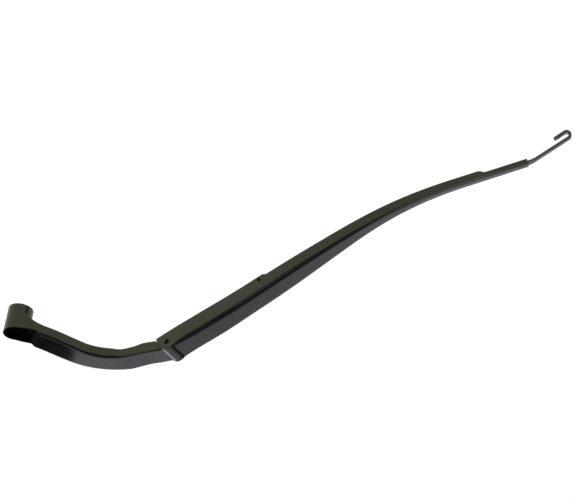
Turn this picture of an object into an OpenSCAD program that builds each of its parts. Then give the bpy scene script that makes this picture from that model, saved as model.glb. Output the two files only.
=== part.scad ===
// Windscreen wiper arm with a bayonet-style U hook, in millimetres.
// Origin: on the spindle axis, at the windscreen-side end of the boss.
// +Z runs along the spindle axis away from the car, +X from the boss along the arm.
// The pivot frame sits at the middle of the pivot pin: x along the channel,
// y across it, z out of its closed face.

/* [Boss] */
// Height of the boss along the spindle axis
boss_h = 29.8; // [26:0.5:34]
// Radius of the boss at its windscreen-side end
boss_r_low = 13.8; // [12.5:0.1:14.2]
// Radius of the boss at its outer end
boss_r_high = 13.9; // [13.6:0.1:15]
// Slope of the rim down towards the head, in degrees
rim_tilt_deg = 5; // [0:0.5:6]
// Wall left around the nut recess
rim_wall = 1.5; // [1.2:0.1:2.2]
// Height of the seat that the spindle nut bears on
nut_seat_z = 18; // [16:0.5:20]
// Radius of the hole that the spindle thread passes through
thread_hole_r = 4.2; // [3.2:0.1:4.8]
// Length of that straight hole
thread_hole_len = 5; // [3:0.5:6]
// Largest radius of the tapered bore
taper_r = 6; // [5:0.1:7.5]
// Narrowing of the taper, in radius for each millimetre of height
taper_slope = 0.1; // [0.05:0.01:0.14]
// Radius of the skirt that covers the foot of the spindle
skirt_r = 10.2; // [9:0.1:11]
// Depth of that skirt
skirt_depth = 4; // [2:0.5:6]

/* [Head] */
// Height of the head's outer face above the origin, beside the boss
head_face_z = 32.2; // [31:0.1:35]
// Depth of the head's side walls
head_depth = 12; // [10:0.5:14]
// Width of the head beside the boss
head_w_boss = 30.4; // [29:0.2:33]
// Rounding of the head's outer edges
head_edge_r = 3.4; // [2:0.1:4.5]
// The same rounding at the hinge
hinge_edge_r = 2; // [1.4:0.1:2.6]
// Wall of the hollow cast head
head_wall = 3.2; // [2.6:0.1:3.6]
// Direction of the head in plan where it leaves the boss, in degrees
head_leave_deg = -8; // [-12:1:-6]
// Direction of the head in plan on its way to the bend, in degrees
head_out_deg = -27.4; // [-32:0.2:-22]
// Direction of the head in plan behind the pivot, in degrees
head_in_deg = 29; // [25:1:34]
// Distance along the head to the start of its bend
head_bend_start = 70; // [64:1:76]
// Length of that bend
head_bend_len = 60.5; // [52:0.5:68]
// Extra depth of the head's side walls where they run into the boss
fillet_h = 12.5; // [12:0.5:18]
// Depth of the crease between the head's face and the knuckle below the knuckle's top
crease_depth = 0.9; // [0.4:0.1:0.9]
// Width taken off the head's far side at the hinge
far_trim = 1.2; // [0:0.1:1.4]
// Extra fall of the head's face on the last part of its way to the hinge
face_sag = 2.2; // [1:0.1:3]
// Distance from the spindle axis to the foot of the ramp beside the recess
ramp_start = 19.5; // [18:0.5:22]
// Length of that ramp
ramp_len = 6; // [3:0.5:9]

/* [Pivot] */
// Place of the pivot pin along X
pivot_x = 168.7; // [165:0.1:173]
// Place of the middle of the pivot pin along Y
pivot_y = 3.9; // [1:0.1:6]
// Height of the pivot pin
pivot_z = 17; // [15.5:0.1:18]
// Direction of the channel in plan at the pivot, in degrees
arm_plan_deg = 37.6; // [34:0.1:41]
// Droop of the channel towards the windscreen, in degrees
arm_droop_deg = 24; // [18:0.5:28]
// Radius of the pivot pin
pivot_pin_r = 2.5; // [2.2:0.1:2.6]
// Extra radius of the upset heads that hold the pins in the channel
pin_head = 0.6; // [0.3:0.05:0.9]
// Thickness of those heads
pin_head_t = 0.6; // [0.3:0.05:0.7]
// Radius of the knuckle barrel
barrel_r = 10; // [9.4:0.1:10.2]
// Running clearance of a pin, in radius
pin_clear = 0.05; // [0.02:0.01:0.1]
// Wall of a pivot bush
bush_wall = 1; // [0.8:0.1:1.1]
// Thickness of a bush's flange
bush_flange = 0.4; // [0.3:0.05:0.45]

/* [Channel] */
// Width of the channel at the pivot
channel_w = 25.2; // [24:0.1:27]
// Width of the channel at the rod
tail_w = 11.4; // [11.2:0.1:13]
// Sheet thickness
sheet = 1.2; // [1:0.05:1.4]
// Height of the channel's closed face above the pivot pin
face_n = 9.9; // [9.7:0.1:10.4]
// Height of the side flanges at the pivot
flange_h = 22.1; // [20:0.1:24]
// Height lost by the flanges where the anchor lug ends
lug_step = 2.8; // [1:0.1:4]
// Height of the flanges where they meet the rod
flange_end_h = 8.8; // [7.6:0.1:9.6]
// Bend radius of the channel's outer edges along its thick part
bend_r = 5.5; // [3:0.1:6]
// Bend radius of the channel's far outer edge in front of the pivot
far_bend_r = 3.2; // [2.2:0.1:5]
// Bend radius of the channel's outer edges at the pivot and at the rod
bend_r_end = 2.2; // [1.8:0.1:2.6]
// Slight inward lean of the channel just in front of the pivot, in degrees
waist_deg = 2.6; // [0:0.1:3]
// Sideways bow of the channel, in degrees
bow_deg = 2.5; // [0:0.1:4]
// Sideways turn of the channel towards its tip, in degrees
turn_deg = 22.5; // [15:0.5:28]
// Twist of the channel from the pivot to its tip, in degrees
twist_deg = 22; // [10:0.5:24]
// Distance from the pivot to the rear edge of the closed face
web_start = 6.1; // [6:0.1:7]
// Radius of the ears around the pivot pin
ear_r = 10.2; // [9:0.1:10.4]
// Lean of the rear edges of the flanges below the ears, over their height
ear_lean = 2.6; // [1:0.1:3]
// Distance from the pivot to the crimped tail
tail_start = 387; // [378:1:392]
// Length of the crimped tail
tail_len = 47; // [42:1:56]

/* [Spring] */
// Distance from the pivot to the spring's anchor pin
anchor_l = 122; // [112:0.5:124]
// Depth of the anchor pin below the pivot
anchor_n = 5.7; // [4.5:0.1:6.5]
// Radius of the anchor pin
anchor_pin_r = 2; // [1.5:0.1:2.2]
// Distance from the pivot pin to the link pin
link_offset = 6.2; // [6:0.05:6.5]
// Angle of the link pin below the channel's line, in degrees
link_offset_deg = 22; // [18:1:26]
// Radius of the link pin
link_pin_r = 1.6; // [1.4:0.1:1.8]
// Distance between the link's two eyes
link_len = 21; // [20:0.5:23]
// Depth of the link's bow below its line, to its lower edge
link_bow = 8.9; // [8.8:0.1:9.6]
// Width of the link's metal
link_metal = 2.8; // [2.4:0.1:2.9]
// Thickness of the link
link_thick = 3.2; // [2.6:0.1:3.6]
// Radius of the eye that takes the spring
link_eye_r = 2.4; // [2.3:0.05:2.6]
// Radius of the spring wire
wire_r = 0.9; // [0.7:0.05:1]
// Mean radius of the spring's coils
coil_r = 4.4; // [4:0.1:4.6]
// Distance between two turns of the spring
coil_pitch = 2.05; // [2.05:0.05:2.6]

/* [Rod and hook] */
// Width of the flat rod
rod_w = 9; // [8:0.1:9]
// Thickness of the flat rod
rod_t = 3; // [2.5:0.1:3.2]
// Rounding of the rod's long edges
rod_edge_r = 1.3; // [1.2:0.05:1.45]
// Length of the rod beyond the crimped tail, to the outside of the hook
rod_free_len = 55.6; // [45:1:75]
// Bend of the rod towards the windscreen, in degrees
rod_bend_deg = 15.5; // [5:1:25]
// Radius of that bend
rod_bend_r = 30; // [24:1:50]
// Inner radius of the hook
hook_r = 2.2; // [2:0.1:3]
// Length of the hook's free leg
hook_leg = 13.2; // [12:0.5:20]
// Roll of the rod about its own line beyond the crimped tail, in degrees
rod_roll_deg = 8; // [0:1:14]
// Radius of the corners of the free leg
tip_r = 2.4; // [1:0.1:4]
// Distance from the free leg's end to its slot
slot_from = 3.2; // [3:0.1:5]
// Length of the slot in the free leg
slot_len = 3.6; // [3:0.1:5]
// Width of that slot
slot_w = 4; // [3:0.1:4.6]

/* [Hidden] */
$fn = 48;

// Gap between parts that turn on each other, and the overreach of a cut
turn_gap = 0.45;
reach = 1;
fit_gap = 0.02;

// General functions
function ease(u) = let (c = min(max(u, 0), 1)) c * c * (3 - 2 * c);
function unit(v) = v / norm(v);
function ring_faces(rings, sides) = [
    for (i = [0 : rings - 2], j = [0 : sides - 1])
        let (a = i * sides + j, b = i * sides + (j + 1) % sides)
            each [[a, a + sides, b], [b, a + sides, b + sides]]
];
function first_cap(sides) = [[for (j = [0 : sides - 1]) j]];
function last_cap(rings, sides) = [[for (j = [sides - 1 : -1 : 0]) (rings - 1) * sides + j]];

// Quarter bend of radius r about (cx, cy), from a0 to a1 degrees
function bend(cx, cy, r, a0, a1, steps) = [
    for (k = [0 : steps]) let (a = a0 + (a1 - a0) * k / steps) [cx + r * cos(a), cy + r * sin(a)]
];

// Open U section, closed face at height 0, legs h long, outer width w, wall t
bend_steps = 5;
inner_steps = 2;
function u_section(w, h, r, t, roof) = let (q = max(r - t, 0.4)) concat(
    [[w / 2, -h]],
    bend(w / 2 - r, -r, r, 0, 90, bend_steps),
    bend(r - w / 2, -r, r, 90, 180, bend_steps),
    [[-w / 2, -h], [t - w / 2, -h]],
    bend(t + q - w / 2, -roof - q, q, 180, 90, inner_steps),
    bend(w / 2 - t - q, -roof - q, q, 90, 0, inner_steps),
    [[w / 2 - t, -h]]
);

// A solid lofted through rings of points, all with the same number of points
module loft(rings) {
    sides = len(rings[0]);
    count = len(rings);
    polyhedron(
        points = [for (ring = rings) each ring],
        faces = concat(ring_faces(count, sides), first_cap(sides), last_cap(count, sides)),
        convexity = 8);
}

// A round wire along a path of points
function tangent(p, i) = unit(p[min(i + 1, len(p) - 1)] - p[max(i - 1, 0)]);
function carried(p, start) = [
    for (i = 0, u = unit(start); i < len(p);
         i = i + 1, u = i < len(p) ? unit(u - (u * tangent(p, i)) * tangent(p, i)) : u) u
];
module wire(p, r, sides, start) {
    across = carried(p, start);
    loft([
        for (i = [0 : len(p) - 1])
            let (u = across[i], v = cross(tangent(p, i), u))
                [for (k = [0 : sides - 1]) p[i] + r * (cos(360 * k / sides) * u + sin(360 * k / sides) * v)]
    ]);
}

// Pivot frame
module at_pivot() {
    translate([pivot_x, pivot_y, pivot_z]) rotate([0, arm_droop_deg, arm_plan_deg]) children();
}
// The same place, level with the head
module at_pivot_level() {
    translate([pivot_x, pivot_y, pivot_z]) rotate([0, 0, arm_plan_deg]) children();
}
// A solid drawn as a side view in x and z, spread w across
module side_extrude(w) {
    rotate([90, 0, 0]) translate([0, 0, -w / 2]) linear_extrude(w) children();
}
// A round bar across the arm at x, z
module cross_bar(x, z, r, y0, y1) {
    translate([x, y0, z]) rotate([-90, 0, 0]) cylinder(r = r, h = y1 - y0);
}

// Head: a centre line in plan that leaves the boss, bends round and meets the pivot
head_step = 4;
head_count = 46;
function head_dir(s) =
    head_leave_deg + (head_out_deg - head_leave_deg) * ease(s / 50)
    + (head_in_deg - head_out_deg) * min(max((s - head_bend_start) / head_bend_len, 0), 1)
    + (arm_plan_deg - head_in_deg) * ease((s - 150) / 30);
head_raw = [
    for (i = 0, p = [0, 0]; i <= head_count;
         p = p + head_step * [cos(head_dir((i + 0.5) * head_step)), sin(head_dir((i + 0.5) * head_step))],
         i = i + 1) p
];
// The raw line is turned and stretched a little so that its end meets the pivot
head_end = head_raw[head_count];
head_scale = norm([pivot_x, pivot_y]) / norm(head_end);
head_turn = atan2(pivot_y, pivot_x) - atan2(head_end[1], head_end[0]);
head_len = head_step * head_count;
head_xs = [for (i = [0 : head_count]) [i * head_step, head_raw[i][0]]];
head_ys = [for (i = [0 : head_count]) [i * head_step, head_raw[i][1]]];
function turned(p, a) = [p[0] * cos(a) - p[1] * sin(a), p[0] * sin(a) + p[1] * cos(a)];
function head_at(s) = head_scale * turned(
    s < 0 ? s * [cos(head_dir(0)), sin(head_dir(0))] : [lookup(s, head_xs), lookup(s, head_ys)], head_turn);
function head_side(s) = let (a = head_dir(s) + head_turn) [-sin(a), cos(a)];
head_first = -6;
function head_w(s) = s < 12
    ? head_w_boss - 11 * pow((12 - s) / 18, 2.6)
    : head_w_boss + (channel_w - head_w_boss) * ease((s - 50) / 110);
hinge_face_z = pivot_z + barrel_r - crease_depth;
function head_top(s) = head_face_z + (hinge_face_z + face_sag - head_face_z) * ease((s - 50) / 110)
    - face_sag * ease((s - 126) / 34);
function trim(s) = far_trim * ease((s - 132) / 20);
function head_edge(s) = head_edge_r + (hinge_edge_r - head_edge_r) * ease((s - 100) / 50);
hinge_drop = 1;
bend_lift = 1.5;
function head_drop(s) = head_depth + fillet_h * pow(1 - min(max((s - 2) / 30, 0), 1), 3)
    + hinge_drop * ease((s - 140) / 14) - bend_lift * ease((s - 108) / 16) * ease((150 - s) / 14);
function head_roof(s) = head_wall + (head_face_z - recess_floor_z - 1) * (1 - ease((s - 20) / 9));
recess_floor_z = nut_seat_z + 4;
head_stations = concat(
    [head_first, -3, 0, 3, 7, 12, 16, 20, 24, 29, 36, 44, 52, 60],
    [for (s = [head_bend_start - 3 : 4 : head_bend_start + head_bend_len + 2]) s],
    [142, 150, 156, 162, 168, 173, 178, head_len]
);

module head_body() {
    loft([
        for (s = head_stations)
            let (c = head_at(s), n = head_side(s), z = head_top(s))
                [for (q = u_section(head_w(s) - trim(s), head_drop(s), head_edge(s), head_wall, head_roof(s)))
                    [c[0] + (q[0] + trim(s) / 2) * n[0], c[1] + (q[0] + trim(s) / 2) * n[1], z + q[1]]]
    ]);
}
// Plan of the nut recess beyond the boss, between the side walls
module recess_plan(last, inset) {
    stations = [0, 4, 8, 14, last];
    polygon(concat(
        [for (s = stations) head_at(s) + (head_w(s) / 2 - inset) * head_side(s)],
        [for (i = [len(stations) - 1 : -1 : 0])
            let (s = stations[i]) head_at(s) - (head_w(s) / 2 - inset) * head_side(s)]));
}
module nut_recess() {
    translate([0, 0, nut_seat_z]) cylinder(r = boss_r_low - rim_wall, h = boss_h);
    translate([0, 0, recess_floor_z]) linear_extrude(boss_h) recess_plan(ramp_start - 0.4, rim_wall + 0.2);
}
// What lies above the rim and the ramp, as seen from the side
module above_rim() {
    rotate(head_leave_deg) side_extrude(3 * head_w_boss) polygon([
        [-3 * boss_r_high, boss_h + 3 * boss_r_high * tan(rim_tilt_deg)],
        [ramp_start, boss_h - ramp_start * tan(rim_tilt_deg)], [ramp_start + ramp_len, head_face_z + 0.1],
        [ramp_start + ramp_len, head_face_z + 5], [-3 * boss_r_high, head_face_z + 5]
    ]);
}
module spindle_bore() {
    taper_high = nut_seat_z - thread_hole_len;
    taper_end_r = taper_r - taper_slope * (taper_high - skirt_depth);
    translate([0, 0, -reach]) cylinder(r = skirt_r, h = skirt_depth + reach);
    translate([0, 0, skirt_depth]) cylinder(r1 = taper_r, r2 = taper_end_r, h = taper_high - skirt_depth);
    cylinder(r = thread_hole_r, h = boss_h);
}

// Knuckle, drawn from the side in the level pivot frame
knuckle_half = channel_w / 2 - sheet - bush_flange - 0.1;
slot_half = link_thick / 2 + 0.5;
link_pin_x = -link_offset * cos(link_offset_deg);
link_pin_z = -link_offset * sin(link_offset_deg);
lobe_r = link_pin_r + 3.2;
head_under = head_top(162) - head_depth - pivot_z;
module knuckle_outline() {
    circle(barrel_r, $fn = 96);
    rotate(-arm_droop_deg) translate([link_pin_x, link_pin_z]) circle(lobe_r);
    polygon([
        [-24, 7.6], [-24, head_under + 1], [-17, head_under], [-12.5, -4.6], [-6, -7.4], [0, 0],
        [-3, 7.6]
    ]);
}
// Clearance for the link, in the pivot frame: the skin of the barrel is left whole
skin = 2;
slot_open_deg = 48;
module link_slot_outline() {
    circle(barrel_r - skin);
    translate([link_pin_x, link_pin_z]) circle(link_pin_r + 2.6);
    polygon([
        [0, 0], [-14, -5.4], [-13, -30], [40, -30], [40, 0],
        [30 * cos(slot_open_deg), 30 * sin(slot_open_deg)]
    ]);
}
// Clearance for the ears at the sides of the knuckle, in the pivot frame
module ear_pocket_outline() {
    circle(ear_r + turn_gap);
    polygon([
        [0, 0], [-ear_r - turn_gap, 0], [-ear_r - turn_gap - ear_lean, -16], [25, -16], [25, 20],
        [-16, 20], [-9, 8]
    ]);
}
bush_outer_r = pivot_pin_r + pin_clear + bush_wall;

module arm_head() color([0.13, 0.13, 0.12]) {
    difference() {
        union() {
            cylinder(r1 = boss_r_low, r2 = boss_r_high, h = boss_h + 2, $fn = 96);
            head_body();
            at_pivot_level() side_extrude(2 * knuckle_half + 1.4) knuckle_outline();
        }
        above_rim();
        nut_recess();
        spindle_bore();
        at_pivot() side_extrude(2 * slot_half) link_slot_outline();
        for (side = [-1, 1])
            at_pivot() translate([0, side * (knuckle_half + 5), 0]) side_extrude(10) ear_pocket_outline();
        at_pivot() cross_bar(0, 0, bush_outer_r + fit_gap, -knuckle_half - reach, knuckle_half + reach);
        at_pivot() cross_bar(link_pin_x, link_pin_z, link_pin_r + fit_gap, -knuckle_half - reach,
                             knuckle_half + reach);
    }
}

module pivot_bush(side) {
    flange_r = bush_outer_r + 1.6;
    at_pivot() scale([1, side, 1]) difference() {
        union() {
            cross_bar(0, 0, bush_outer_r, slot_half + 0.2, knuckle_half + bush_flange);
            cross_bar(0, 0, flange_r, knuckle_half, knuckle_half + bush_flange);
        }
        cross_bar(0, 0, pivot_pin_r + pin_clear, 0, knuckle_half + bush_flange + reach);
    }
}
module bush_near() color([0.75, 0.62, 0.35]) pivot_bush(1);
module bush_far() color([0.75, 0.62, 0.35]) pivot_bush(-1);

pin_sink = 0.25;
head_seat = channel_w / 2 - pin_head_t - pin_sink;
// The channel's middle isn't at the anchor pin's, so the pin's two heads sit at different distances
function anchor_seat(side) = side * lookup(anchor_l, channel_ys) + channel_width(anchor_l) / 2
    - pin_head_t - pin_sink;
// A pin with an upset head at both ends, from -a to b across the arm
module headed_pin(r, a, b) {
    rotate([90, 0, 0]) rotate_extrude() polygon([
        [0, -b], [r + pin_head - 0.2, -b], [r + pin_head, 0.2 - b], [r + pin_head, pin_head_t - b],
        [r, pin_head_t - b], [r, a - pin_head_t], [r + pin_head, a - pin_head_t],
        [r + pin_head, a - 0.2], [r + pin_head - 0.2, a], [0, a]
    ]);
}
// A straight pin with a chamfer at both ends, half its length to each side
module chamfered_pin(r, half, chamfer) {
    rotate([90, 0, 0]) rotate_extrude() polygon([
        [0, -half], [r - chamfer, -half], [r, chamfer - half], [r, half - chamfer],
        [r - chamfer, half], [0, half]
    ]);
}
module pivot_pin() color([0.35, 0.35, 0.36]) at_pivot()
    headed_pin(pivot_pin_r, head_seat + pin_head_t, head_seat + pin_head_t);
module link_pin() color([0.5, 0.5, 0.52]) at_pivot() translate([link_pin_x, 0, link_pin_z])
    chamfered_pin(link_pin_r, knuckle_half - pin_sink, 0.3);
module anchor_pin() color([0.35, 0.35, 0.36]) at_pivot() translate([anchor_l, 0, -anchor_n])
    headed_pin(anchor_pin_r, anchor_seat(-1) + pin_head_t, anchor_seat(1) + pin_head_t);

// Channel: rings along a line that bows, turns and twists
channel_step = 8;
channel_rear = -14;
function channel_dir(s) = (waist_deg + bow_deg) * ease((s - 12) / 145) - waist_deg * ease((s - 12) / 12)
    - turn_deg * ease((s - 209) / (tail_start - 209));
function channel_roll(s) = twist_deg * ease((s - 60) / 300);
channel_line = [
    for (i = 0, p = [0, 0]; i <= 58;
         p = p + channel_step * [cos(channel_dir((i + 0.5) * channel_step)),
                                 sin(channel_dir((i + 0.5) * channel_step))],
         i = i + 1) p
];
channel_xs = [for (i = [0 : len(channel_line) - 1]) [i * channel_step, channel_line[i][0]]];
channel_ys = [for (i = [0 : len(channel_line) - 1]) [i * channel_step, channel_line[i][1]]];
function along(s) = [cos(channel_dir(s)), sin(channel_dir(s)), 0];
function level_side(s) = [-sin(channel_dir(s)), cos(channel_dir(s)), 0];
function side_dir(s) = level_side(s) * cos(channel_roll(s)) + [0, 0, sin(channel_roll(s))];
function out_dir(s) = [0, 0, cos(channel_roll(s))] - level_side(s) * sin(channel_roll(s));
lug_end = anchor_l + 5.5;
lug_ramp = 4.5;
tail_h = 2 * sheet + rod_t + 2 * fit_gap;
tail_end = tail_start + tail_len;
function channel_width(s) = s > tail_start ? tail_w
    : channel_w + (tail_w - channel_w) * ease((s - 130) / 210);
function channel_bend(s, full) = s < 110
    ? bend_r_end + (full - bend_r_end) * ease(s / 30)
    : full + (bend_r_end - full) * ease((s - 110) / 210);
function far_bend(s) = far_bend_r + (bend_r - far_bend_r) * ease((s - 50) / 50);
lug_h = flange_h - 1.8;
thin_h = lug_h - lug_step;
function channel_height(s) =
    s <= 60 ? flange_h + ear_rise(s)
    : s <= lug_end ? flange_h - (flange_h - lug_h) * (s - 60) / (lug_end - 60)
    : s < lug_end + lug_ramp ? lug_h - lug_step * (s - lug_end) / lug_ramp
    : s <= tail_start - 5 ? flange_end_h
        + (thin_h - flange_end_h) * pow(max(0, 1 - (s - lug_end - lug_ramp) / 235), 1.12)
    : s < tail_start + 1 ? tail_h + (flange_end_h - tail_h) * (tail_start + 1 - s) / 6
    : tail_h;
// How far the flanges are folded in under the rod
function fold(s) = ease((s - tail_start + 5) / 8);
tail_seam = 2.6;
fold_reach = tail_w / 2 - tail_seam / 2;
function channel_section(s) = let (
    w = channel_width(s), h = channel_height(s), k = fold(s),
    r = channel_bend(s, bend_r), f = channel_bend(s, far_bend(s)), p = max(f - sheet, 0.4),
    t = sheet + k * (tail_w / 2 - rod_w / 2 - fit_gap - sheet), e = t / 3,
    q = max(r - sheet, 0.4), x = w / 2 - fold_reach * k, z = sheet * k, g = 0.15 * (1 - k)
) concat(
    [[w / 2, -h]],
    bend(w / 2 - r, -r, r, 0, 90, bend_steps),
    bend(f - w / 2, -f, f, 90, 180, bend_steps),
    [[-w / 2, -h], [e * (1 - k) - x, -h - g], [2 * e * (1 - k) - x, z - h - g], [t - w / 2, z - h]],
    bend(t + p - w / 2, -sheet - p, p, 180, 90, inner_steps),
    bend(w / 2 - t - q, -sheet - q, q, 90, 0, inner_steps),
    [[w / 2 - t, z - h], [x - 2 * e * (1 - k), z - h - g], [x - e * (1 - k), -h - g]]
);
channel_stations = concat(
    [channel_rear, 0, web_start - 3, web_start - 1.5, web_start + 0.5, 12, 18, 24, 30, 45, 60],
    [for (s = [75 : 12 : lug_end - 4]) s],
    [lug_end, lug_end + lug_ramp],
    [for (s = [lug_end + lug_ramp + 10 : 10 : tail_start - 12]) s],
    [tail_start - 5, tail_start - 3, tail_start - 1, tail_start + 1, tail_start + 3, tail_end]
);
// The ears stand a little above the closed face, so that they are flat right up to their rims
function ear_rise(s) = 1.6 * ease((web_start - s) / 4);
function channel_at(s) = s < web_start ? [s, 0, face_n + ear_rise(s)] : s > tail_start
    ? channel_at(tail_start) + (s - tail_start) * along(tail_start)
    : [lookup(s, channel_xs), lookup(s, channel_ys), face_n];
function channel_ring(s, section) = let (f = min(s, tail_start)) [
    for (q = section) channel_at(s) + q[0] * side_dir(f) + q[1] * out_dir(f)
];
// Frame of the straight tail: its origin is on the middle of the closed face
module at_tail() {
    p = channel_at(tail_start);
    a = along(tail_start);
    b = side_dir(tail_start);
    c = out_dir(tail_start);
    multmatrix([
        [a[0], b[0], c[0], p[0]], [a[1], b[1], c[1], p[1]], [a[2], b[2], c[2], p[2]], [0, 0, 0, 1]
    ]) children();
}
ear_inside = channel_w / 2 - sheet - 0.06;
module ear_cut_outline() {
    difference() {
        translate([channel_rear - reach, -20]) square([web_start - channel_rear + reach, 40]);
        circle(ear_r);
        polygon([
            [0, 0], [-ear_r, 0], [-ear_r - ear_lean, -flange_h], [web_start + 2 * reach, -flange_h],
            [web_start + 2 * reach, 7], [web_start, 7], [ear_r * cos(62), ear_r * sin(62)]
        ]);
    }
}
module retainer_channel() color([0.11, 0.11, 0.11]) at_pivot() {
    difference() {
        loft([
            for (s = channel_stations)
                channel_ring(s, channel_section(s))
        ]);
        side_extrude(2 * channel_w) ear_cut_outline();
        translate([channel_rear - reach, -ear_inside, -flange_h])
            cube([web_start - channel_rear + reach, 2 * ear_inside, 2 * flange_h]);
        cross_bar(0, 0, pivot_pin_r + fit_gap, -channel_w, channel_w);
        cross_bar(anchor_l, -anchor_n, anchor_pin_r + fit_gap, -channel_w, channel_w);
        for (side = [-1, 1]) scale([1, side, 1]) {
            cross_bar(0, 0, pivot_pin_r + pin_head + fit_gap, head_seat - fit_gap, channel_w);
            cross_bar(anchor_l, -anchor_n, anchor_pin_r + pin_head + fit_gap,
                      anchor_seat(side) - fit_gap, channel_w);
        }
    }
}

// Rod: a centre line in the tail's own side view, bent down and hooked back
rod_inside = 3;
rod_mid = -sheet - fit_gap - rod_t / 2;
bend_x0 = tail_len + 1;
bend_x1 = bend_x0 + rod_bend_r * sin(rod_bend_deg);
bend_z1 = rod_mid - rod_bend_r * (1 - cos(rod_bend_deg));
hook_mid_r = hook_r + rod_t / 2;
rod_left = rod_free_len - 1 - rod_bend_r * rod_bend_deg * PI / 180 - hook_mid_r - rod_t / 2;
hook_x = bend_x1 + rod_left * cos(rod_bend_deg);
hook_z = bend_z1 - rod_left * sin(rod_bend_deg);
hook_steps = 14;
hook_cx = hook_x - hook_mid_r * sin(rod_bend_deg);
hook_cz = hook_z - hook_mid_r * cos(rod_bend_deg);
// Each entry is x, z, the downward slope in degrees and what the rounded tip takes off the width
rod_line = concat(
    [[-rod_inside, rod_mid, 0, 0], [tail_len, rod_mid, 0, 0], [bend_x0, rod_mid, 0, 0]],
    [for (k = [1 : 8]) let (a = rod_bend_deg * k / 8)
        [bend_x0 + rod_bend_r * sin(a), rod_mid - rod_bend_r * (1 - cos(a)), a, 0]],
    [for (k = [0 : hook_steps]) let (a = rod_bend_deg + 180 * k / hook_steps)
        [hook_cx + hook_mid_r * sin(a), hook_cz + hook_mid_r * cos(a), a, 0]],
    [for (b = [0 : 22.5 : 90]) let (d = hook_leg - tip_r * (1 - sin(b)))
        [hook_cx - hook_mid_r * sin(rod_bend_deg) - d * cos(rod_bend_deg),
         hook_cz - hook_mid_r * cos(rod_bend_deg) + d * sin(rod_bend_deg), rod_bend_deg + 180,
         tip_r * (1 - cos(b))]]
);
function rod_section(less) = let (x = rod_w / 2 - rod_edge_r - less, y = rod_t / 2 - rod_edge_r) concat(
    bend(x, y, rod_edge_r, 0, 90, 3), bend(-x, y, rod_edge_r, 90, 180, 3),
    bend(-x, -y, rod_edge_r, 180, 270, 3), bend(x, -y, rod_edge_r, 270, 360, 3));
// The rod rolls about its own line as it leaves the crimped tail
function rod_roll(x) = rod_roll_deg * ease((x - tail_len) / 12);
function rolled(x, y, z, a) = [x, y * cos(a) - z * sin(a), rod_mid + y * sin(a) + z * cos(a)];
module in_hook() {
    translate([0, 0, rod_mid]) rotate([rod_roll_deg, 0, 0]) translate([hook_cx, 0, hook_cz - rod_mid])
        rotate([0, rod_bend_deg, 0]) children();
}
module end_rod() color([0.3, 0.3, 0.29]) at_pivot() at_tail() difference() {
    loft([
        for (q = rod_line) let (a = rod_roll(q[0]))
            [for (c = rod_section(q[3]))
                rolled(q[0] + c[1] * sin(q[2]), c[0], q[1] - rod_mid + c[1] * cos(q[2]), a)]
    ]);
    in_hook() translate([slot_from - hook_leg, -slot_w / 2, -hook_mid_r - rod_t])
        cube([slot_len, slot_w, 2 * rod_t]);
}

// Link: a C of constant width between two eyes, in its own frame along the spring's line
line_deg = atan2(-anchor_n - link_pin_z, anchor_l - link_pin_x);
link_anchor_dist = norm([anchor_l - link_pin_x, -anchor_n - link_pin_z]);
module bow_loop(inset) {
    r = 4.6 - inset;
    x0 = inset - link_metal / 2;
    x1 = link_len + link_metal / 2 - inset;
    z0 = inset - link_bow;
    translate([x0, z0 + r]) square([x1 - x0, link_bow - inset - r]);
    translate([x0 + r, z0]) square([x1 - x0 - 2 * r, r + reach]);
    for (x = [x0 + r, x1 - r]) translate([x, z0 + r]) circle(r);
}
module link_outline() {
    difference() {
        bow_loop(0);
        bow_loop(link_metal);
        translate([link_metal / 2, -link_bow / 2]) square([link_len - link_metal, link_bow]);
    }
    circle(link_pin_r + 1.6);
    translate([link_len, 0]) circle(link_eye_r + 1.6);
}
module at_link() {
    at_pivot() translate([link_pin_x, 0, link_pin_z]) rotate([0, -line_deg, 0]) children();
}
module spring_link() color([0.45, 0.45, 0.46]) at_link() difference() {
    side_extrude(link_thick) link_outline();
    cross_bar(0, 0, link_pin_r + pin_clear, -link_thick, link_thick);
    cross_bar(link_len, 0, link_eye_r, -link_thick, link_thick);
}

// Spring: one wire from the link's eye through the coils to the loop on the anchor pin
eye_play = 0.4;
spring_span = link_anchor_dist - link_len - eye_play;
loop_r = anchor_pin_r + wire_r + 0.2;
coil_from = 9;
coil_to = spring_span - 12;
coil_turns = floor((coil_to - coil_from) / coil_pitch) + 0.25;
coil_end = coil_from + coil_turns * coil_pitch;
turn_steps = 8;
coil_count = coil_turns * turn_steps;
// x runs from the anchor pin to the link, y across the arm
spring_path = concat(
    [[3, 0, -loop_r], [0, 0, -loop_r]],
    [for (a = [-60 : 30 : 60]) [-loop_r * cos(a), 0, loop_r * sin(a)]],
    [[0, 0, loop_r], [4, 0, loop_r + 0.3], [7, 0, coil_r - 0.1]],
    [for (k = [0 : coil_count]) let (a = 90 + 360 * k / turn_steps)
        [coil_from + coil_pitch * k / turn_steps, -coil_r * cos(a), coil_r * sin(a)]],
    [[coil_end + 3, coil_r, 0], [spring_span - coil_r - 1, coil_r, 0]],
    [for (a = [-60 : 30 : 60]) [spring_span - coil_r + coil_r * cos(a), -coil_r * sin(a), 0]],
    [[spring_span - coil_r - 1, -coil_r, 0], [spring_span - coil_r - 4.5, -coil_r, 0]]
);
module arm_spring() color([0.55, 0.55, 0.56]) at_pivot()
    translate([anchor_l, 0, -anchor_n]) rotate([0, -line_deg, 0]) mirror([1, 0, 0])
        wire(spring_path, wire_r, 6, [0, 1, 0]);

arm_head();
bush_near();
bush_far();
pivot_pin();
retainer_channel();
anchor_pin();
link_pin();
spring_link();
arm_spring();
end_rod();
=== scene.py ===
"""Looks of a windscreen wiper arm: painted head and channel, coated rod, inner steel and bronze."""

import math

import bpy
from mathutils import Matrix, Vector


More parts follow.
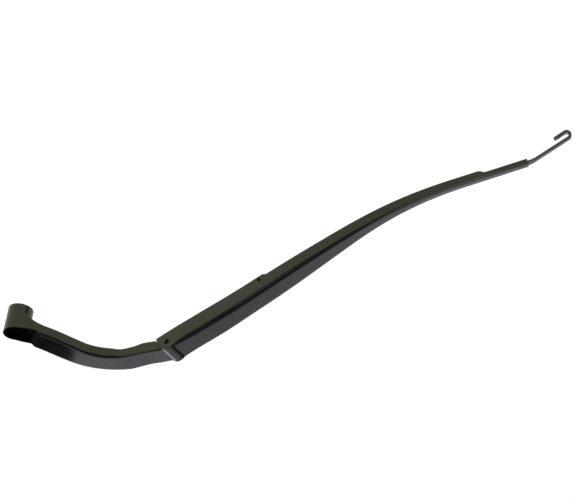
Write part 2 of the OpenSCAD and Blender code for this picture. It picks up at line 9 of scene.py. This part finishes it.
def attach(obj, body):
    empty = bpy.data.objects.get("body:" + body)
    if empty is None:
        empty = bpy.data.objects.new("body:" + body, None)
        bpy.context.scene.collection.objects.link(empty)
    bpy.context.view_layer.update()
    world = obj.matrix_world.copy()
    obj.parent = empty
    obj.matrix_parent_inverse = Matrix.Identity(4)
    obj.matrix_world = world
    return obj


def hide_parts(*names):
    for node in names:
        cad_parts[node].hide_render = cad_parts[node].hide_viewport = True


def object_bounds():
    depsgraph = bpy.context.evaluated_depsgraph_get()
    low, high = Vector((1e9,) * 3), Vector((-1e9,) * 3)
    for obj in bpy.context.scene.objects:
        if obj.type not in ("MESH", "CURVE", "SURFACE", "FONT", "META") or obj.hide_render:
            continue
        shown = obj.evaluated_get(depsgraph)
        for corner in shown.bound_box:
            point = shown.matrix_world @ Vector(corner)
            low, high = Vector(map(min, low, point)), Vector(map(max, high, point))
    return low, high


bl_info = {
    "name": "Wiper arm looks",
    "version": (1, 0, 0),
    "blender": (4, 5, 0),
    "location": "View3D > Sidebar > Wiper arm",
    "description": "Painted casting, pressed channel, rod and inner steel of a wiper arm",
    "category": "Object",
}

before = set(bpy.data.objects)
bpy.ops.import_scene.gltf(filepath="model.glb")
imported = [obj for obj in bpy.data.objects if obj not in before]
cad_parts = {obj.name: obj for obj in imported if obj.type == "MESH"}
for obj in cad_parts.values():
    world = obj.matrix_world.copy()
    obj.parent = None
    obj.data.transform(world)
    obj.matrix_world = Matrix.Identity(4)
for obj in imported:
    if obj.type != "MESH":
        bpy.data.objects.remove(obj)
box_at_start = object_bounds()

MM = 0.001

# Eased edges of the pieces that are too thin for the casting's and the channel's
ROD_EDGE = 0.12 * MM
LINK_EDGE = 0.15 * MM
PIN_EDGE_SHARE = 0.5

# Points closer than this are one point, where the solids' triangles meet
SEAM = 0.002 * MM

# Name of the mesh attribute that is 1 on the eased edges
EDGE_LAYER = "edge"

# Paint: how wide its clouds, ripples, orange peel, dust specks and rubbed spots are
CLOUD_WIDTH = 22 * MM
RIPPLE_WIDTH = 3.5 * MM
PEEL_WIDTH = 0.55 * MM
DUST_WIDTH = 1.1 * MM
RUB_WIDTH = 4 * MM
PEEL_DEPTH = 0.06 * MM

# Steel and bronze: their turning marks and their tarnish
TURNING_WIDTH = 0.5 * MM
TURNING_DEPTH = 0.03 * MM
TARNISH_WIDTH = 2.5 * MM
TARNISH_COLOUR = (0.11, 0.085, 0.06, 1)

# The camera's right, up and back, and the point of the arm that it looks at
CAMERA_RIGHT = Vector((0.98624, 0.09102, -0.13803))
CAMERA_UP = Vector((-0.16534, 0.54244, -0.82366))
CAMERA_BACK = Vector((-0.0001, 0.83515, 0.55002))
VIEW_CENTRE = Vector((0.27234, 0.11977, -0.05455))
SENSOR_WIDTH = 36
FARTHEST_SEEN = 100

FLOOR_MIDDLE = (0.27, 0.1)

# Softboxes aimed at the same point as the camera: name, place, width, height
BACK_SOFTBOX = ("back_softbox", (0.3, -2.2, 2.0), 2.6, 1.2)
SIDE_SOFTBOX = ("side_softbox", (-1.8, 1.4, 1.2), 0.8, 0.8)

# Cards that the paint mirrors: name, place, point aimed at, width, height, light given off.
# The first two darken the head's face and ramp, the third puts the dark band on the boss,
# and the last lights the ridge at the channel's tail.
CARDS = (
    ("face_card", (0.012, -0.117, 0.112), (0.034, 0.0, 0.032), 0.1, 0.13, 0.02),
    ("ramp_card", (-0.04, -0.1, 0.045), (0.028, 0.0, 0.025), 0.15, 0.1, 0.04),
    ("boss_card", (0.096, 0.058, -0.063), (0.038, 0.010, 0.003), 0.052, 0.036, 0.2),
    ("tail_bounce", (0.468, 0.283, -0.01), (0.453, 0.19, -0.125), 0.19, 0.24, 1.5),
)

# Colours of the set; the floor looks a little yellow where the paint mirrors it
WHITE = (1, 1, 1, 1)
CARD_BLACK = (0.004, 0.004, 0.004, 1)
FLOOR_IN_PAINT = (1.0, 1.0, 0.72, 1)
ROOM_COLOUR = (1.06, 1.07, 1.15, 1)


# Shader maths


class Value:
    """A socket that takes part in plain expressions; each step adds a Math node."""

    def __init__(self, tree, socket):
        self.tree = tree
        self.socket = socket

    def _math(self, kind, *inputs):
        node = self.tree.nodes.new("ShaderNodeMath")
        node.operation = kind
        for slot, given in zip(node.inputs, inputs):
            if isinstance(given, Value):
                self.tree.links.new(given.socket, slot)
            else:
                slot.default_value = given
        return Value(self.tree, node.outputs[0])

    def __add__(self, other):
        return self._math("ADD", self, other)

    __radd__ = __add__

    def __sub__(self, other):
        return self._math("SUBTRACT", self, other)

    def __rsub__(self, other):
        return self._math("SUBTRACT", other, self)

    def __mul__(self, other):
        return self._math("MULTIPLY", self, other)

    __rmul__ = __mul__

    def clamped(self):
        return self._math("MINIMUM", self._math("MAXIMUM", self, 0.0), 1.0)

    def step_up(self, low, high):
        """0 below low, 1 above high, a straight slope between."""
        return ((self - low) * (1 / (high - low))).clamped()


class Nodes:
    """The nodes of a finish or of the room; every node but Math comes from node()."""

    def __init__(self, tree):
        self.tree = tree

    def feed(self, slot, given):
        if isinstance(given, Value):
            given = given.socket
        if isinstance(given, bpy.types.NodeSocket):
            self.tree.links.new(given, slot)
        else:
            slot.default_value = given

    def node(self, kind, sockets=None, **settings):
        """A node with its settings, then the values or links of its sockets by name or number."""
        made = self.tree.nodes.new(kind)
        for key, given in settings.items():
            setattr(made, key, given)
        for key, given in (sockets or {}).items():
            self.feed(made.inputs[key], given)
        return made

    def values(self, node, *names):
        """The named outputs of a node, for use in expressions."""
        return [Value(self.tree, node.outputs[name]) for name in names]


class Finish(Nodes):
    """One material under construction."""

    def __init__(self, name):
        self.material = bpy.data.materials.new(name)
        self.material.use_nodes = True
        super().__init__(self.material.node_tree)
        self.shader = self.tree.nodes["Principled BSDF"]
        self.place = self.node("ShaderNodeTexCoord").outputs["Object"]

    def noise(self, width, detail=3.0, stretch=(1, 1, 1)):
        """Cloudy noise whose features are about width metres across."""
        spread = self.node("ShaderNodeMapping", {"Vector": self.place, "Scale": stretch})
        made = self.node(
            "ShaderNodeTexNoise",
            {"Vector": spread.outputs[0], "Scale": 1.0 / width, "Detail": detail},
        )
        return self.values(made, "Fac")[0]

    def attribute(self, name):
        return self.values(self.node("ShaderNodeAttribute", attribute_name=name), "Fac")[0]

    def mixed(self, factor, first, second):
        """Colour between first, at 0, and second, at 1."""
        sockets = {0: factor, 6: first, 7: second}
        return self.node("ShaderNodeMix", sockets, data_type="RGBA").outputs[2]

    def bump(self, height, depth, strength):
        sockets = {"Height": height, "Distance": depth, "Strength": strength}
        self.surface({"Normal": self.node("ShaderNodeBump", sockets).outputs["Normal"]})

    def surface(self, sockets):
        for key, given in sockets.items():
            self.feed(self.shader.inputs[key], given)


def shade(colour, factor):
    return (colour[0] * factor, colour[1] * factor, colour[2] * factor, 1.0)


def paint(name, colour, gloss, grain, wear, bare, shine=0.5):
    """Black paint with an uneven film, fine orange peel, dust and rubbed edges.

    grain is how deep the ripples of the film are, bare the metal where it has rubbed off.
    """
    f = Finish(name)
    cloud = f.noise(CLOUD_WIDTH)
    ripple = f.noise(RIPPLE_WIDTH, detail=4.0)
    peel = f.noise(PEEL_WIDTH, detail=2.0)
    spots = f.noise(RUB_WIDTH, detail=5.0).step_up(0.5, 0.66)
    rubbed = (f.attribute(EDGE_LAYER) * spots * wear).clamped()
    dust = f.noise(DUST_WIDTH, detail=1.0).step_up(0.71, 0.76) * 0.35
    film = f.mixed(cloud.step_up(0.3, 0.7), shade(colour, 0.78), shade(colour, 1.25))
    dusty = f.mixed(dust, film, shade(colour, 3.2))
    dullness = (1 - gloss) + (ripple - 0.5) * 0.22 + (cloud - 0.5) * 0.12 + rubbed * 0.1
    f.surface({
        "Base Color": f.mixed(rubbed, dusty, (*bare, 1)),
        "Roughness": dullness.clamped(),
        "Metallic": rubbed * 0.8,
        "Specular IOR Level": shine,
    })
    f.bump(peel * 0.35 + ripple * grain, PEEL_DEPTH, 0.6)
    return f.material


def metal(name, colour, roughness, lay, tarnish):
    """Bare or plated metal with fine turning marks along lay and patches of tarnish."""
    f = Finish(name)
    marks = f.noise(TURNING_WIDTH, stretch=lay)
    patch = f.noise(TARNISH_WIDTH, detail=4.0).step_up(0.45, 0.7)
    clean = f.mixed(marks, shade(colour, 0.75), shade(colour, 1.15))
    f.surface({
        "Base Color": f.mixed(patch * tarnish, clean, TARNISH_COLOUR),
        "Roughness": (roughness + (marks - 0.5) * 0.25 + patch * 0.12).clamped(),
        "Metallic": 1.0 - patch * tarnish * 0.4,
    })
    f.bump(marks, TURNING_DEPTH, 0.5)
    return f.material


# Pieces


def finished_with(piece, name, kind, **settings):
    """Adds a modifier with its settings and applies it."""
    step = piece.modifiers.new(name, kind)
    for key, given in settings.items():
        setattr(step, key, given)
    bpy.ops.object.modifier_apply(modifier=step.name)


def skin_of(node, name, body, material, edge=0.0, smooth_deg=32.0, rounds=0):
    """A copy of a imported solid, its seams closed, its sharp edges eased and its curves smooth."""
    bpy.ops.object.select_all(action="DESELECT")
    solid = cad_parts[node]
    solid.select_set(True)
    bpy.context.view_layer.objects.active = solid
    bpy.ops.object.duplicate()
    piece = bpy.context.view_layer.objects.active
    piece.name = piece.data.name = name
    bpy.ops.object.mode_set(mode="EDIT")
    bpy.ops.mesh.select_all(action="SELECT")
    bpy.ops.mesh.remove_doubles(threshold=SEAM)
    bpy.ops.mesh.customdata_custom_splitnormals_clear()
    if rounds:
        widest = math.radians(60)
        bpy.ops.mesh.tris_convert_to_quads(face_threshold=widest, shape_threshold=widest)
    else:
        flattest = math.radians(0.6)
        bpy.ops.mesh.dissolve_limited(angle_limit=flattest)
    bpy.ops.object.mode_set(mode="OBJECT")
    piece.data.materials.clear()
    piece.data.materials.append(material)
    if edge:
        piece.data.materials.append(material)
        finished_with(
            piece, "eased edges", "BEVEL", width=edge, segments=2, limit_method="ANGLE",
            angle_limit=math.radians(38), use_clamp_overlap=True, material=1,
        )
        mark_edges(piece)
    if rounds:
        finished_with(piece, "finer", "SUBSURF", levels=rounds, render_levels=rounds)
    bpy.ops.object.shade_smooth_by_angle(angle=math.radians(smooth_deg))
    if edge:
        finished_with(
            piece, "flat faces stay flat", "WEIGHTED_NORMAL", keep_sharp=True, weight=80
        )
    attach(piece, body)
    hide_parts(node)


def mark_edges(piece):
    """The corners of the eased edges carry 1 in the attribute that the paint rubs through by."""
    mesh = piece.data
    layer = mesh.attributes.new(EDGE_LAYER, "FLOAT", "CORNER")
    for face in mesh.polygons:
        for corner in face.loop_indices:
            layer.data[corner].value = 1.0 if face.material_index == 1 else 0.0
        face.material_index = 0
    mesh.materials.pop(index=1)


def refinish(node, material):
    """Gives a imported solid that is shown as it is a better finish."""
    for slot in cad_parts[node].material_slots:
        slot.material = material


class PaintSizes(bpy.types.PropertyGroup):
    head_colour: bpy.props.FloatVectorProperty(
        name="Head paint", description="Colour of the casting's paint",
        default=(0.008, 0.0078, 0.0062), min=0, max=1, subtype="COLOR")
    channel_colour: bpy.props.FloatVectorProperty(
        name="Channel paint", description="Colour of the channel's paint",
        default=(0.0075, 0.0074, 0.0064), min=0, max=1, subtype="COLOR")
    rod_colour: bpy.props.FloatVectorProperty(
        name="Rod coat", description="Colour of the rod's thin coat",
        default=(0.066, 0.066, 0.066), min=0, max=1, subtype="COLOR")
    bare_colour: bpy.props.FloatVectorProperty(
        name="Rubbed metal", description="Metal where the paint has rubbed off",
        default=(0.3, 0.3, 0.29), min=0, max=1, subtype="COLOR")
    spring_colour: bpy.props.FloatVectorProperty(
        name="Spring wire", description="Colour of the spring's bare steel",
        default=(0.32, 0.32, 0.33), min=0, max=1, subtype="COLOR")
    plated_colour: bpy.props.FloatVectorProperty(
        name="Plated steel", description="Colour of the link and its pin",
        default=(0.5, 0.5, 0.5), min=0, max=1, subtype="COLOR")
    bronze_colour: bpy.props.FloatVectorProperty(
        name="Bush bronze", description="Colour of the two bushes",
        default=(0.5, 0.34, 0.14), min=0, max=1, subtype="COLOR")
    head_gloss: bpy.props.FloatProperty(
        name="Head gloss", description="1 is a mirror, 0 is chalk",
        default=0.8, min=0, max=1, subtype="FACTOR")
    channel_gloss: bpy.props.FloatProperty(
        name="Channel gloss", description="1 is a mirror, 0 is chalk",
        default=0.8, min=0, max=1, subtype="FACTOR")
    wear: bpy.props.FloatProperty(
        name="Edge wear", description="Share of the rubbed edges that shows metal",
        default=0.5, min=0, max=1, subtype="FACTOR")
    eased_edge: bpy.props.FloatProperty(
        name="Eased edge", description="Width of the rounding on sharp edges",
        default=0.28 * MM, min=0, max=1 * MM, unit="LENGTH", precision=5)


class StageSizes(bpy.types.PropertyGroup):
    floor_drop: bpy.props.FloatProperty(
        name="Floor drop", description="Gap between the arm's lowest point and the floor",
        default=0.03, min=0, max=1, unit="LENGTH")
    floor_size: bpy.props.FloatProperty(
        name="Floor size", description="Edge of the square floor",
        default=40.0, min=5, max=100, unit="LENGTH")
    floor_colour: bpy.props.FloatVectorProperty(
        name="Floor", description="Colour of the floor",
        default=(0.95, 0.95, 0.95), min=0, max=1, subtype="COLOR")
    camera_distance: bpy.props.FloatProperty(
        name="Camera distance", description="From the camera to the middle of the arm",
        default=3.0, min=1, max=20, unit="LENGTH")
    lens: bpy.props.FloatProperty(
        name="Lens", description="Focal length",
        default=178.4, min=20, max=400, unit="CAMERA")
    back_watts: bpy.props.FloatProperty(
        name="Back softbox", description="Power of the softbox behind the arm",
        default=1.0, min=0, max=200, unit="POWER")
    side_watts: bpy.props.FloatProperty(
        name="Side softbox", description="Power of the softbox beside the boss",
        default=3.2, min=0, max=200, unit="POWER")


class WIPER_OT_head(bpy.types.Operator):
    """Paint the cast head and ease its edges"""

    bl_idname = "wiper.head"
    bl_label = "Cast head"

    def execute(self, context):
        p = context.scene.wiper_paint
        coat = paint(
            "head_paint", p.head_colour, gloss=p.head_gloss, grain=0.9, wear=p.wear,
            bare=p.bare_colour)
        skin_of("arm_head", "head_casting", "head", coat, edge=p.eased_edge)
        return {"FINISHED"}


class WIPER_OT_channel(bpy.types.Operator):
    """Paint the pressed channel, and the pins riveted in it a duller and dimmer black, which is
    painted shade for the shadow in their counterbores
    """

    bl_idname = "wiper.channel"
    bl_label = "Pressed channel"

    def execute(self, context):
        p = context.scene.wiper_paint
        coat = paint(
            "channel_paint", p.channel_colour, gloss=p.channel_gloss, grain=0.45, wear=p.wear,
            bare=p.bare_colour)
        skin_of("retainer_channel", "channel_pressing", "arm", coat, edge=p.eased_edge)
        # The pins' dimmer black is painted shade, standing in for the shadow in the counterbores
        # around the pin ends; their paint is also duller
        pin_shade_colour = shade(p.channel_colour, 0.4)[:3]
        rivets_in_painted_shade = paint(
            "rivet_shade_paint", pin_shade_colour, gloss=0.3, grain=0.6, wear=p.wear * 0.2, bare=p.bare_colour,
            shine=0.08)
        for node, name in (("pivot_pin", "pivot_rivet"), ("anchor_pin", "anchor_rivet")):
            skin_of(node, name, "arm", rivets_in_painted_shade, edge=p.eased_edge * PIN_EDGE_SHARE)
        return {"FINISHED"}


class WIPER_OT_rod(bpy.types.Operator):
    """Coat the flat rod and its hook"""

    bl_idname = "wiper.rod"
    bl_label = "Rod and hook"

    def execute(self, context):
        p = context.scene.wiper_paint
        coat = paint(
            "rod_coat", p.rod_colour, gloss=0.55, grain=0.5, wear=p.wear, bare=p.bare_colour)
        skin_of("end_rod", "hook_rod", "arm", coat, edge=ROD_EDGE)
        return {"FINISHED"}


class WIPER_OT_inside(bpy.types.Operator):
    """Finish the spring, the link, the link's pin and the bushes"""

    bl_idname = "wiper.inside"
    bl_label = "Spring, link and bushes"

    def execute(self, context):
        p = context.scene.wiper_paint
        wire = metal(
            "spring_wire", p.spring_colour, roughness=0.34, lay=(1, 1, 1), tarnish=0.5)
        skin_of("arm_spring", "tension_spring", "spring", wire, smooth_deg=70, rounds=1)
        plated = metal(
            "plated_steel", p.plated_colour, roughness=0.3, lay=(1, 6, 1), tarnish=0.35)
        skin_of("spring_link", "link_plate", "link", plated, edge=LINK_EDGE)
        refinish("link_pin", plated)
        bronze = metal(
            "bush_bronze", p.bronze_colour, roughness=0.4, lay=(1, 1, 5), tarnish=0.4)
        refinish("bush_near", bronze)
        refinish("bush_far", bronze)
        return {"FINISHED"}


# Floor, light and room


def aimed(place, target):
    """The turn that points a lamp or a card from place at target."""
    return (Vector(target) - Vector(place)).to_track_quat("-Z", "Y").to_euler()


def softbox(name, place, width, height, watts):
    bpy.ops.object.light_add(type="AREA", location=place)
    lamp = bpy.context.object
    lamp.name = name
    lamp.rotation_euler = aimed(place, VIEW_CENTRE)
    lamp.data.shape = "RECTANGLE"
    lamp.data.size = width
    lamp.data.size_y = height
    lamp.data.energy = watts


def card(name, place, target, width, height, level):
    """A card that the paint mirrors and the camera doesn't see, black or lit to level."""
    bpy.ops.mesh.primitive_plane_add(size=1, location=place)
    board = bpy.context.object
    board.name = board.data.name = name
    board.rotation_euler = aimed(place, target)
    board.scale = (width, height, 1)
    bpy.ops.object.transform_apply(location=True, rotation=True, scale=True)
    f = Finish(name)
    f.surface({
        "Base Color": CARD_BLACK,
        "Roughness": 1.0,
        "Emission Color": shade(WHITE, level),
        "Emission Strength": 1.0,
    })
    board.data.materials.append(f.material)
    board.visible_camera = False


def floor_finish(colour):
    """A dull floor that is white to the camera, mirrors and glass, and keeps the arm's shadow."""
    f = Finish("floor_white")
    mottle = f.noise(0.4, detail=2.0)
    f.surface({
        "Base Color": f.mixed(mottle, shade(colour, 0.995), shade(colour, 1.0)),
        "Roughness": 0.9,
        "Specular IOR Level": 0.0,
    })
    to_camera, to_mirror, to_glass = f.values(
        f.node("ShaderNodeLightPath"), "Is Camera Ray", "Is Glossy Ray", "Is Transmission Ray")
    white = f.node("ShaderNodeEmission", {
        "Color": f.mixed(to_mirror, WHITE, FLOOR_IN_PAINT),
        "Strength": 1.0 + to_camera * 0.13,
    })
    share = (to_mirror + to_glass + to_camera * 0.86).clamped()
    both = f.node("ShaderNodeMixShader", {0: share, 1: f.shader.outputs[0], 2: white.outputs[0]})
    f.feed(f.tree.nodes["Material Output"].inputs["Surface"], both.outputs[0])
    return f.material


def studio_world():
    """A room that is white to the camera, bright behind the arm and dim on the camera's side."""
    world = bpy.data.worlds.new("studio")
    bpy.context.scene.world = world
    world.use_nodes = True
    n = Nodes(world.node_tree)
    way = n.node("ShaderNodeTexCoord").outputs["Generated"]
    to_hook, to_front = n.values(n.node("ShaderNodeSeparateXYZ", {"Vector": way}), "X", "Y")
    to_back = 0 - to_front
    front_dimmed = 1 - to_front.step_up(-0.4, 0.02) * 0.87
    hook_side_dimmed = 1 - to_hook.step_up(0.55, 0.9) * 0.75
    back_dimmed = 1 - to_back.step_up(0.6, 0.85) * 0.26
    back_glow = to_back.step_up(0.92, 0.98) * 2.4
    bright = front_dimmed * hook_side_dimmed * back_dimmed + back_glow
    to_camera = n.values(n.node("ShaderNodeLightPath"), "Is Camera Ray")[0]
    sky = n.tree.nodes["Background"]
    n.feed(sky.inputs["Strength"], bright * (1 - to_camera) + to_camera)
    n.feed(sky.inputs["Color"], ROOM_COLOUR)


class WIPER_OT_stage(bpy.types.Operator):
    """Lay the floor, hang the lamps and place the camera"""

    bl_idname = "wiper.stage"
    bl_label = "Floor, light and camera"

    def execute(self, context):
        s = context.scene.wiper_stage
        floor_height = box_at_start[0][2] - s.floor_drop
        bpy.ops.object.select_all(action="DESELECT")
        bpy.ops.mesh.primitive_plane_add(
            size=s.floor_size, location=(*FLOOR_MIDDLE, floor_height))
        floor = context.object
        floor.name = floor.data.name = "studio_floor"
        bpy.ops.object.transform_apply(location=True)
        floor.data.materials.append(floor_finish(s.floor_colour))
        softbox(*BACK_SOFTBOX, s.back_watts)
        softbox(*SIDE_SOFTBOX, s.side_watts)
        for row in CARDS:
            card(*row)
        studio_world()
        bpy.ops.object.camera_add(location=VIEW_CENTRE + CAMERA_BACK * s.camera_distance)
        camera = context.object
        turn = Matrix((CAMERA_RIGHT, CAMERA_UP, CAMERA_BACK)).transposed()
        camera.rotation_euler = turn.to_euler()
        camera.data.sensor_width = SENSOR_WIDTH
        camera.data.lens = s.lens
        camera.data.clip_end = FARTHEST_SEEN
        context.scene.camera = camera
        context.scene.view_settings.view_transform = "Standard"
        return {"FINISHED"}


class WIPER_PT_panel(bpy.types.Panel):
    """Pieces of the wiper arm, in the order in which they are dressed"""

    bl_idname = "WIPER_PT_panel"
    bl_label = "Wiper arm"
    bl_space_type = "VIEW_3D"
    bl_region_type = "UI"
    bl_category = "Wiper arm"

    def draw(self, context):
        for maker in MAKERS:
            self.layout.operator(maker.bl_idname)
        for sizes in (context.scene.wiper_paint, context.scene.wiper_stage):
            for name in sizes.__annotations__:
                self.layout.prop(sizes, name)


MAKERS = (WIPER_OT_head, WIPER_OT_channel, WIPER_OT_rod, WIPER_OT_inside, WIPER_OT_stage)
CLASSES = (PaintSizes, StageSizes, *MAKERS, WIPER_PT_panel)


def register():
    for kind in CLASSES:
        bpy.utils.register_class(kind)
    bpy.types.Scene.wiper_paint = bpy.props.PointerProperty(type=PaintSizes)
    bpy.types.Scene.wiper_stage = bpy.props.PointerProperty(type=StageSizes)


def unregister():
    del bpy.types.Scene.wiper_stage
    del bpy.types.Scene.wiper_paint
    for kind in reversed(CLASSES):
        bpy.utils.unregister_class(kind)


def main():
    register()
    bpy.ops.wiper.head()
    bpy.ops.wiper.channel()
    bpy.ops.wiper.rod()
    bpy.ops.wiper.inside()
    bpy.ops.wiper.stage()


if __name__ == "__main__":
    main()
